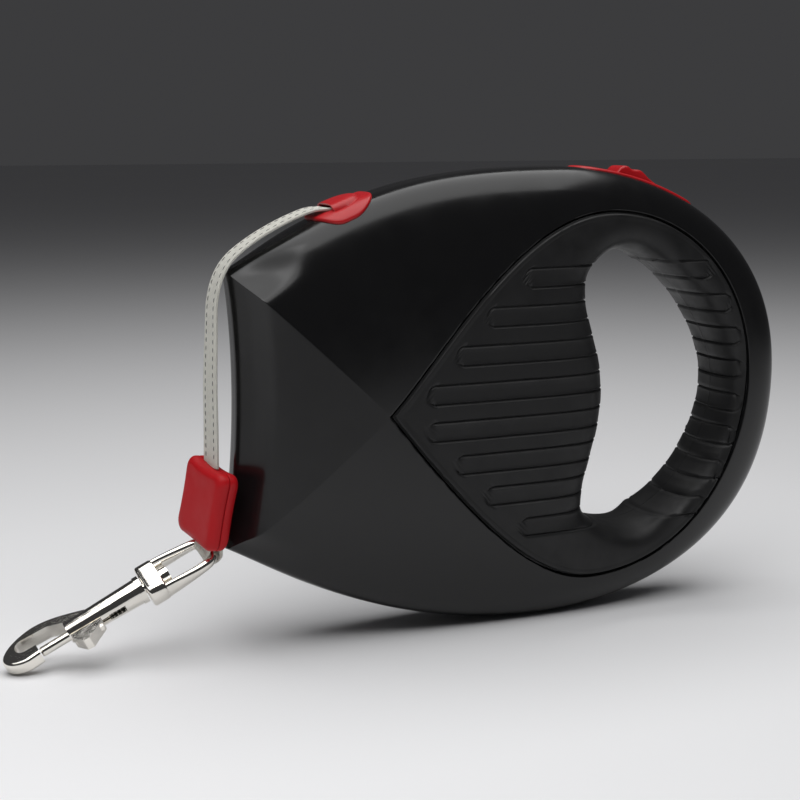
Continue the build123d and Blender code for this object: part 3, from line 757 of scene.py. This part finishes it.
def band_mesh(name, section, frames):
    """Tape of the given section, with its width and run in metres as UV."""
    points, uvs = [], []
    run = 0.0
    for i, (here, across, normal) in enumerate(frames):
        run += (here - frames[i - 1][0]).length if i else 0.0
        for a, t in section:
            points.append((here / MM) + across * a + normal * t)
            uvs.append((a * MM + 0.02, run + (0.05 if t < 0 else 0)))
    return mesh_piece(name, points, tube_faces(len(frames), len(section)), WEB, 50, uvs)


def tracer_dashes(frames):
    """Short dark stitches along both edges of the tape, on both faces."""
    points, faces = [], []
    along = [0.0]
    for before, after in zip(frames, frames[1:]):
        along.append(along[-1] + (after[0] - before[0]).length)
    pitch, dash = DASH_PITCH * MM, DASH_LENGTH * MM
    starts = np.arange(pitch, along[-1] - pitch, pitch)
    origins, sides, normals = (np.array([list(f[k]) for f in frames]) for k in range(3))

    def sample(table, s):
        return np.array([np.interp(s, along, table[:, k]) for k in range(3)])

    for start in starts:
        for row in (-DASH_ROW, DASH_ROW):
            for face in (-1, 1):
                ring_start = len(points)
                for step, swell in zip(np.linspace(0, 1, 6), (0.25, 0.8, 1.0, 1.0, 0.8, 0.25)):
                    s = start + dash * step
                    centre = sample(origins, s) / MM + sample(sides, s) * row
                    centre = centre + sample(normals, s) * face * (TAPE_THICK / 2 * FACE_SHARE - DASH_SINK)
                    for a in np.linspace(0, 2 * math.pi, 6, endpoint=False):
                        lift = sample(normals, s) * face * (DASH_LIFT * swell * math.sin(a))
                        points.append(centre + sample(sides, s) * (DASH_HALF * swell * math.cos(a)) + lift)
                faces += [[ring_start + v for v in f] for f in tube_faces(6, 6)]
    return points, faces


route_line = nurbs_line([(x * MM, 0.0, z * MM) for x, z in ROUTE], "tape_route")
route_frames = tape_frames(route_line, twist=TWIST_END)
tape = band_mesh("tape_band", tape_section(), route_frames)
place(tape, "casing", "webbing", "tape_run")
dash_points, dash_faces = tracer_dashes(route_frames)
tracer = mesh_piece("tape_tracer", dash_points, dash_faces, THREAD, 60)
outward(tracer)
place(tracer, "casing", "webbing")


# ==== carried CAD nodes
for node, material in {
    "reel_drum": REEL_WHITE, "reel_cover": REEL_WHITE, "ratchet_ring": REEL_WHITE, "axle_washers": REEL_WHITE,
    "brake_carrier": RED, "brake_pawl": REEL_WHITE, "power_spring": STEEL, "reel_axle": STEEL,
    "pawl_pin": STEEL, "casing_screws": SCREW_STEEL, "wound_tape": WEB,
    "hook_body": CHROME, "gate_bolt": CHROME, "gate_knob": CHROME, "swivel_pin": CHROME,
}.items():
    paint(NODES[node], material)
    soften(NODES[node], 30)


def round_edges(piece, width, angle=35.0):
    bevel = piece.modifiers.new("edges", "BEVEL")
    bevel.width = width * MM
    bevel.segments = 3
    bevel.limit_method = "ANGLE"
    bevel.angle_limit = math.radians(angle)


for node, width in {"hook_body": 0.25, "gate_knob": 0.9, "gate_bolt": 0.15, "swivel_pin": 0.3}.items():
    round_edges(NODES[node], width)


# ==== guide and bezel
TOP_LINE = chain(BODY[:2])


def on_skin(x, across, lift):
    """Points above the top of the casing, lifted square to it."""
    x, across, lift = np.broadcast_arrays(np.asarray(x, float), across, lift)

    def level(x, across):
        k = gauge_at_height(across)
        base = PEAK[0] + (x - PEAK[0]) / k
        return PEAK[1] + (np.interp(base, TOP_LINE[:, 0], TOP_LINE[:, 1]) - PEAK[1]) * k

    z, step = level(x, across), 0.15
    slope_x = (level(x + step, across) - level(x - step, across)) / (2 * step)
    slope_y = (level(x, across + step) - level(x, across - step)) / (2 * step)
    length = np.sqrt(1 + slope_x ** 2 + slope_y ** 2)
    return np.stack([x - lift * slope_x / length, across - lift * slope_y / length, z + lift / length], -1)


GUIDE_X, GUIDE_SLOPE, GUIDE_HALF, GUIDE_CORNER = -62.0, math.radians(24), (10.5, 12.25), 9.0
PLATE_LIFT, PLATE_SINK, MOUTH_AT = 0.95, 0.9, -4.1


def rounded_depth(a, b, half, corner):
    """How far inside a rounded rectangle a point is."""
    qa, qb = np.abs(a) - (half[0] - corner), np.abs(b) - (half[1] - corner)
    return corner - np.hypot(np.maximum(qa, 0), np.maximum(qb, 0)) - np.minimum(np.maximum(qa, qb), 0)


def edge_roll(depth, lift, radius):
    """Lift with a quarter-round edge, by the depth inside the outline."""
    t = np.clip(depth / radius, 0, 1)
    return lift * np.sqrt(1 - (1 - t) ** 2)


def hood_lift(a, b):
    """Capsule-shaped hood, cut off at the mouth, with a crease round its foot."""
    q = np.hypot(np.maximum(a + 0.6, 0) / 7.4, b / 7.6)
    crest = 1.75 - 0.045 * (a - MOUTH_AT)
    hood = crest * np.sqrt(np.clip(1 - q ** 5, 0, 1))
    crease = 0.22 * np.exp(-((q - 1.04) / 0.05) ** 2)
    return np.where(a > MOUTH_AT, hood - crease, 0.0)


def guide_mesh():
    """Exit guide: a plate that follows the casing, with its hood, bored for the tape."""
    half_a, half_b = GUIDE_HALF
    near = np.array([0.02, 0.12, 0.3, 0.55, 0.9])
    a_rows = np.unique(np.concatenate([near - half_a, half_a - near, np.arange(-9.4, 9.5, 0.45),
                                       MOUTH_AT + np.array([-0.02, 0.02, 0.2])]))
    ends = np.array([0, 0.008, 0.022, 0.045, 0.075])
    share = np.concatenate([ends - 1, np.linspace(-0.9, 0.9, 49), 1 - ends[::-1]])
    over = np.maximum(np.abs(a_rows) - (half_a - GUIDE_CORNER), 0)
    width = half_b - GUIDE_CORNER + np.sqrt(np.maximum(GUIDE_CORNER ** 2 - over ** 2, 0))
    a, b = np.broadcast_arrays(a_rows[:, None], width[:, None] * share[None, :])
    depth = rounded_depth(a, b, GUIDE_HALF, GUIDE_CORNER)
    lift = edge_roll(depth, PLATE_LIFT, 0.7) + hood_lift(a, b) * smooth_step(depth, 0.3, 1.4)
    x = GUIDE_X + a * math.cos(GUIDE_SLOPE)
    top, floor = on_skin(x, b, lift), on_skin(x, b, -PLATE_SINK)
    rows, columns = a.shape
    points = np.vstack([top.reshape(-1, 3), floor.reshape(-1, 3)])
    upper = grid_faces(rows, columns)
    below = rows * columns
    faces = upper + [[v + below for v in face][::-1] for face in upper]
    rim = list(range(columns)) + [r * columns + columns - 1 for r in range(1, rows)]
    rim += [(rows - 1) * columns + c for c in range(columns - 2, -1, -1)]
    rim += [r * columns for r in range(rows - 2, 0, -1)]
    for v, w in zip(rim, rim[1:] + rim[:1]):
        faces.append([v, w, w + below, v + below])
    piece = mesh_piece("tape_guide_shell", points, faces, RED)
    outward(piece)
    for x, z, tilt, length, high in ((-66.0, 140.95, -6, 13.0, 1.75), (-58.0, 139.0, 20, 12.0, 2.2)):
        bpy.ops.mesh.primitive_cube_add(size=1)
        cutter = bpy.context.object
        cutter.dimensions = (length * MM, 11.2 * MM, high * MM)
        cutter.location = (x * MM, 0, z * MM)
        cutter.rotation_euler = (0, math.radians(tilt), 0)
        cut_away(piece, cutter)
    soften(piece, 32)
    return piece


place(guide_mesh(), "casing", "red_plastic", "tape_guide")


def stadium(x0, x1, half, corner, count):
    """Closed rounded rectangle in plan, evenly spaced, from the middle of its near side."""
    middle = (x0 + x1) / 2
    line = [(middle, -half)]
    for cx, cy, start in ((x1 - corner, -half + corner, -90), (x1 - corner, half - corner, 0),
                          (x0 + corner, half - corner, 90), (x0 + corner, -half + corner, 180)):
        for step in range(13):
            a = math.radians(start + 90 * step / 12)
            line.append((cx + corner * math.cos(a), cy + corner * math.sin(a)))
    line.append((middle, -half))
    return at_share(np.array(line), np.linspace(0, 1, count, endpoint=False))


def bezel_mesh():
    """Frame round the brake's window; its rings are (share from window to rim, lift)."""
    outer, inner = stadium(20.7, 67.7, 7.0, 6.9, 120), stadium(29.4, 61.0, 4.9, 0.8, 120)
    rings = [(0.0, -3.2), (0.0, 0.15), (0.05, 0.42), (0.14, 0.55), (0.3, 0.58), (0.55, 0.6), (0.74, 0.58),
             (0.86, 0.48), (0.94, 0.3), (1.0, 0.0), (1.0, -1.0)]
    points = []
    for share, lift in rings:
        plan = inner + share * (outer - inner)
        points.extend(on_skin(plan[:, 0], plan[:, 1], lift))
    return closed_piece("brake_bezel_ring", points, grid_faces(len(rings), len(outer), True, True), RED, 40)


place(bezel_mesh(), "casing", "red_plastic", "brake_bezel")


# ==== brake button
def catmull(points, per_span=8):
    """Smooth line through the points."""
    p = np.array(points, float)
    p = np.vstack([2 * p[0] - p[1], p, 2 * p[-1] - p[-2]])
    line = []
    for i in range(1, len(p) - 2):
        for t in np.linspace(0, 1, per_span, endpoint=False):
            a, b, c, d = p[i - 1], p[i], p[i + 1], p[i + 2]
            line.append(0.5 * (2 * b + (c - a) * t + (2 * a - 5 * b + 4 * c - d) * t ** 2
                               + (3 * b - a - 3 * c + d) * t ** 3))
    line.append(p[-2])
    return np.array(line)


BUTTON_TOP = [
    (34.8, 148.9), (35.3, 149.9), (36.6, 150.9), (37.9, 152.3), (39.2, 153.0), (40.8, 152.9), (42.2, 152.0),
    (43.8, 151.7), (45.6, 151.5), (47.2, 150.5), (49.4, 148.5), (52.5, 146.5), (56.0, 144.9), (58.6, 143.9),
    (59.2, 143.3),
]
BUTTON_HALF, BUTTON_BASE, BASE_SLOPE = 4.45, 145.3, 3.0 / 24.4


def button_mesh():
    """Thumb piece: a rounded section swept along its top line, down to a flat base."""
    top = catmull(BUTTON_TOP, 5)
    section = [(-1.0, None), (-1.0, -1.1), (-0.985, -0.6), (-0.94, -0.25), (-0.86, -0.06), (-0.7, 0.0),
               (-0.4, 0.0), (0.0, 0.0)]
    section += [(-y, dz) for y, dz in reversed(section[:-1])]
    points = []
    for x, z in top:
        base = BUTTON_BASE - (x - BUTTON_TOP[0][0]) * BASE_SLOPE
        for y, dz in section:
            level = base if dz is None else max(z + dz, base + 0.2)
            points.append((x, y * BUTTON_HALF, level))
    return closed_piece("brake_button_cap", points, tube_faces(len(top), len(section)), RED, 45)


place(button_mesh(), "thumb_piece", "red_plastic", "brake_button")


# ==== bumper
BUMPER_AT = np.array([-106.7, 0.0, 48.8])
BUMPER_W = unit([-0.21, 0.965, 0.155])
BUMPER_H = np.array([0.158, -0.12, 0.98])
BUMPER_H = unit(BUMPER_H - BUMPER_W * BUMPER_H.dot(BUMPER_W))
BUMPER_T = np.cross(BUMPER_W, BUMPER_H)
BUMPER_HALF, BUMPER_CORNER = (12.2, 13.3), 4.2
BUMPER_THICK, BUMPER_ROUND, BUMPER_FLAT = 3.9, 2.5, 0.80


def bumper_half(name, side):
    """Half a pinched rubber pillow, with a fine gap at the seam between the halves."""
    half_w, half_h = BUMPER_HALF
    outline = stadium(-half_w, half_w, half_h, BUMPER_CORNER, 120)
    w, h = outline[:, 0], outline[:, 1]
    pinched_w = w * (1 - 0.065 * (1 - (h / half_h) ** 2))
    pinched_h = h * (1 - np.where(h > 0, 0.11, 0.03) * (1 - (w / half_w) ** 2))
    rim = np.stack([pinched_w, pinched_h], 1)
    flat = np.linspace(0, BUMPER_FLAT, 7)
    rings = [(s, BUMPER_THICK * (0.93 + 0.07 * (s / BUMPER_FLAT) ** 2)) for s in flat]
    for a in np.radians(np.arange(12, 91, 13)):
        share = BUMPER_FLAT + (1 - BUMPER_FLAT) * math.sin(a)
        rings.append((share, BUMPER_THICK - BUMPER_ROUND * (1 - math.cos(a))))
    rings += [(1.0, 0.9), (1.0, 0.34), (0.99, 0.17), (0.975, 0.1), (0.6, 0.08), (0.0, 0.08)]
    points = []
    for share, thick in rings:
        for a, b in rim * share:
            points.append(BUMPER_AT + BUMPER_W * a + BUMPER_H * b + BUMPER_T * thick * side)
    return closed_piece(name, points, grid_faces(len(rings), len(rim), False, True), RED_RUBBER, 40)


place(bumper_half("bumper_front_rubber", -1), "casing", "red_rubber", "bumper_front")
place(bumper_half("bumper_back_rubber", 1), "casing", "red_rubber", "bumper_back")


# ==== tape ends
def lead_band():
    """The tape inside the casing, from the coil to the guide."""
    route = ((-20.5, 115.7), (-40.0, 128.6), (-54.0, 137.7), (-60.5, 139.6))
    line = nurbs_line([(x * MM, 0.0, z * MM) for x, z in route], "lead_route")
    return band_mesh("tape_lead_band", tape_section(), tape_frames(line))


place(lead_band(), "casing", "webbing", "tape_lead")


# The hook's own directions: U along it to its tip, N square to it and up, and Y across.
HOOK_TILT, BAR_TURN, HOOK_ROLL = (math.radians(a) for a in (26, 30, 70))
ACROSS = np.array([0.0, 1.0, 0.0])
HOOK_U = np.array([-math.cos(HOOK_TILT), 0.0, -math.sin(HOOK_TILT)])
HOOK_N = np.array([-math.sin(HOOK_TILT), 0.0, math.cos(HOOK_TILT)])
BAR_DIR = HOOK_N * math.sin(BAR_TURN) + ACROSS * math.cos(BAR_TURN)
EYE_BAR = np.array([-106.8, 0.0, 33.3])     # middle of the bar that the tape's loop holds
LOOP_R = 2.75


def loop_band():
    """The folded end of the tape round the bar of the eye."""
    up = unit(np.array([0, 0, 1.0]) - BAR_DIR[2] * BAR_DIR)
    side = np.cross(BAR_DIR, up)
    path = [(10.5, 0.62), (8.0, 0.75), (5.8, 1.35), (4.0, 2.1)]
    path += [(LOOP_R * math.sin(a), LOOP_R * math.cos(a)) for a in np.radians(np.arange(30, -211, -15))]
    path += [(4.0, -2.1), (5.8, -1.35), (8.0, -0.75), (10.5, -0.62)]
    line = [Vector(MM * (EYE_BAR + up * v + side * n)) for v, n in catmull(path, 4)]
    section = [(a * 0.82, t * 0.95) for a, t in tape_section()]
    return band_mesh("tape_loop_band", section, tape_frames(line, BAR_DIR))


place(loop_band(), "casing", "webbing", "tape_loop")


# ==== hook eye
HOOK_A = EYE_BAR + HOOK_U * 25.0            # foot of the hook's barrel
EYE_N = np.cross(HOOK_U, BAR_DIR)


def eye_point(s, t, n=0.0):
    """Point at s along the hook, t along the eye's bar and n square to both."""
    return HOOK_A + HOOK_U * s + BAR_DIR * t + EYE_N * n


def tube(name, path, radius, material, sides=20, depth=None, first=(0.3, 0.5, 0.8)):
    """Bar along a smooth line: round, or with its own depth along the first normal."""
    line = np.array(path)
    rings = len(line)
    tangents = np.gradient(line, axis=0)
    tangents /= np.linalg.norm(tangents, axis=1, keepdims=True)
    normal = np.cross(tangents[0], first) if depth is None else np.array(first, float)
    depths = np.broadcast_to(radius if depth is None else depth, rings)
    points = []
    for here, tangent, deep in zip(line, tangents, depths):
        normal = unit(normal - tangent * normal.dot(tangent))
        binormal = np.cross(tangent, normal)
        for a in np.linspace(0, 2 * math.pi, sides, endpoint=False):
            points.append(here + deep * math.cos(a) * normal + radius * math.sin(a) * binormal)
    return mesh_piece(name, points, tube_faces(rings, sides), material, 50)


def eye_bow():
    """Bent bar that the tape's loop holds, deeper towards the collar."""
    half = [(-3.2, 5.6), (-8.5, 5.6), (-12.5, 5.55), (-17.0, 5.4), (-20.3, 5.15), (-22.6, 4.75), (-24.3, 3.7),
            (-25.0, 2.2)]
    plan = half + [(-25.0, 0.0)] + [(s, -t) for s, t in reversed(half)]
    line = np.array(catmull(plan, 6))
    depth = 1.7 + 1.4 * smooth_step(line[:, 0], -24.0, -6.0)
    return tube("hook_eye_bow", [eye_point(s, t) for s, t in line], 1.6, CHROME, 24, depth, EYE_N)


def eye_collar():
    """Rounded block that carries the eye and turns on the pin."""
    half_t, half_n, corner = 7.3, 4.2, 3.4
    rim = stadium(-half_t, half_t, half_n, corner, 72)
    rings = [(-7.6, 0.0), (-7.6, 0.86), (-7.5, 0.93), (-7.2, 0.98), (-6.8, 1.0), (-2.4, 1.0), (-2.0, 0.98),
             (-1.7, 0.93), (-1.6, 0.86), (-1.6, 0.0)]
    points = [eye_point(s, *(p * share)) for s, share in rings for p in rim]
    return closed_piece("hook_eye_collar", points, grid_faces(len(rings), len(rim), False, True), CHROME, 35)


hook_bow = place(eye_bow(), "eye", "chrome_steel", "hook_eye")
hook_collar = place(eye_collar(), "eye", "chrome_steel")


# ==== springs
HOOK_B = HOOK_N * math.cos(HOOK_ROLL) + ACROSS * math.sin(HOOK_ROLL)     # towards the bow
BOLT_DROP = 1.3                 # the bolt's axis lies this far from the hook's, away from the bow


def coil(name, start, axis, length, radius, wire, turns):
    """Open coil spring of round wire with closed end turns."""
    axis = unit(axis)
    first = unit(np.cross(axis, [0.3, 0.9, 0.2]))
    second = np.cross(axis, first)
    angles = np.linspace(0, 2 * math.pi * (turns + 1.5), int(28 * (turns + 1.5)))
    closed = 0.75 * 2 * math.pi
    share = np.clip((angles - closed) / (angles[-1] - 2 * closed), 0, 1)
    rise = wire + (length - 2 * wire) * share
    path = [start + axis * h + radius * (first * math.cos(a) + second * math.sin(a))
            for a, h in zip(angles, rise)]
    return tube(name, path, wire, STEEL, 10)


gate_coil = coil("gate_coil", HOOK_A + HOOK_U * 1.8 - HOOK_B * BOLT_DROP, HOOK_U, 10.0, 1.25, 0.28, 7)
place(gate_coil, "snap", "spring_steel", "gate_spring")
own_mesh(gate_coil)
brake_coil = coil("brake_coil", np.array([46.0, 0.0, 131.0]), (0, 0, 1), 8.9, 2.6, 0.35, 4)
place(brake_coil, "casing", "spring_steel", "brake_spring")
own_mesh(brake_coil)


# ==== stage and camera
def stage_floor():
    material, shader = new_material("floor_paint", (0.78, 0.78, 0.79), 0.55)
    cloud = noise(material, coordinates(material), 3.0)
    tint = blend_colours(material, cloud, (0.77, 0.77, 0.78), (0.80, 0.80, 0.81))
    join(material, shader, "Base Color", tint)
    steps = np.linspace(-6000.0, 6000.0, 13)
    points = [(x, y, 0.0) for y in steps for x in steps]
    floor = mesh_piece("floor", points, grid_faces(len(steps), len(steps)), material)


def area_light(name, where, target, size, power, spread_angle=180):
    data = bpy.data.lights.new(name, "AREA")
    data.shape = "RECTANGLE"
    data.size, data.size_y = size
    data.energy = power
    data.spread = math.radians(spread_angle)
    lamp = bpy.data.objects.new(name, data)
    lamp.location = where
    lamp.rotation_euler = (Vector(target) - Vector(where)).to_track_quat("-Z", "Y").to_euler()
    lamp.visible_camera = False
    bpy.context.scene.collection.objects.link(lamp)


def stage_camera():
    data = bpy.data.cameras.new("camera")
    data.sensor_width = 36.0
    data.lens = 67.5
    data.clip_start, data.clip_end = 0.01, 20.0
    camera = bpy.data.objects.new("camera", data)
    camera.location = (-0.2233, -0.4516, 0.1666)
    camera.rotation_euler = (math.radians(90 - 10.39), 0, math.radians(-22))
    bpy.context.scene.collection.objects.link(camera)
    bpy.context.scene.camera = camera


def stage_world():
    world = bpy.data.worlds.new("studio")
    world.use_nodes = True
    world.node_tree.nodes["Background"].inputs["Color"].default_value = (0.045, 0.045, 0.047, 1)
    bpy.context.scene.world = world


stage_floor()
stage_camera()
stage_world()
area_light("top_box", (-0.02, -0.09, 0.78), (-0.02, -0.09, 0.0), (1.05, 1.03), 8.8)
area_light("left_pool", (-0.56, -0.18, 0.5), (-0.54, -0.16, 0.0), (0.5, 0.45), 0.8, 110)
bpy.context.scene.view_settings.view_transform = "Standard"
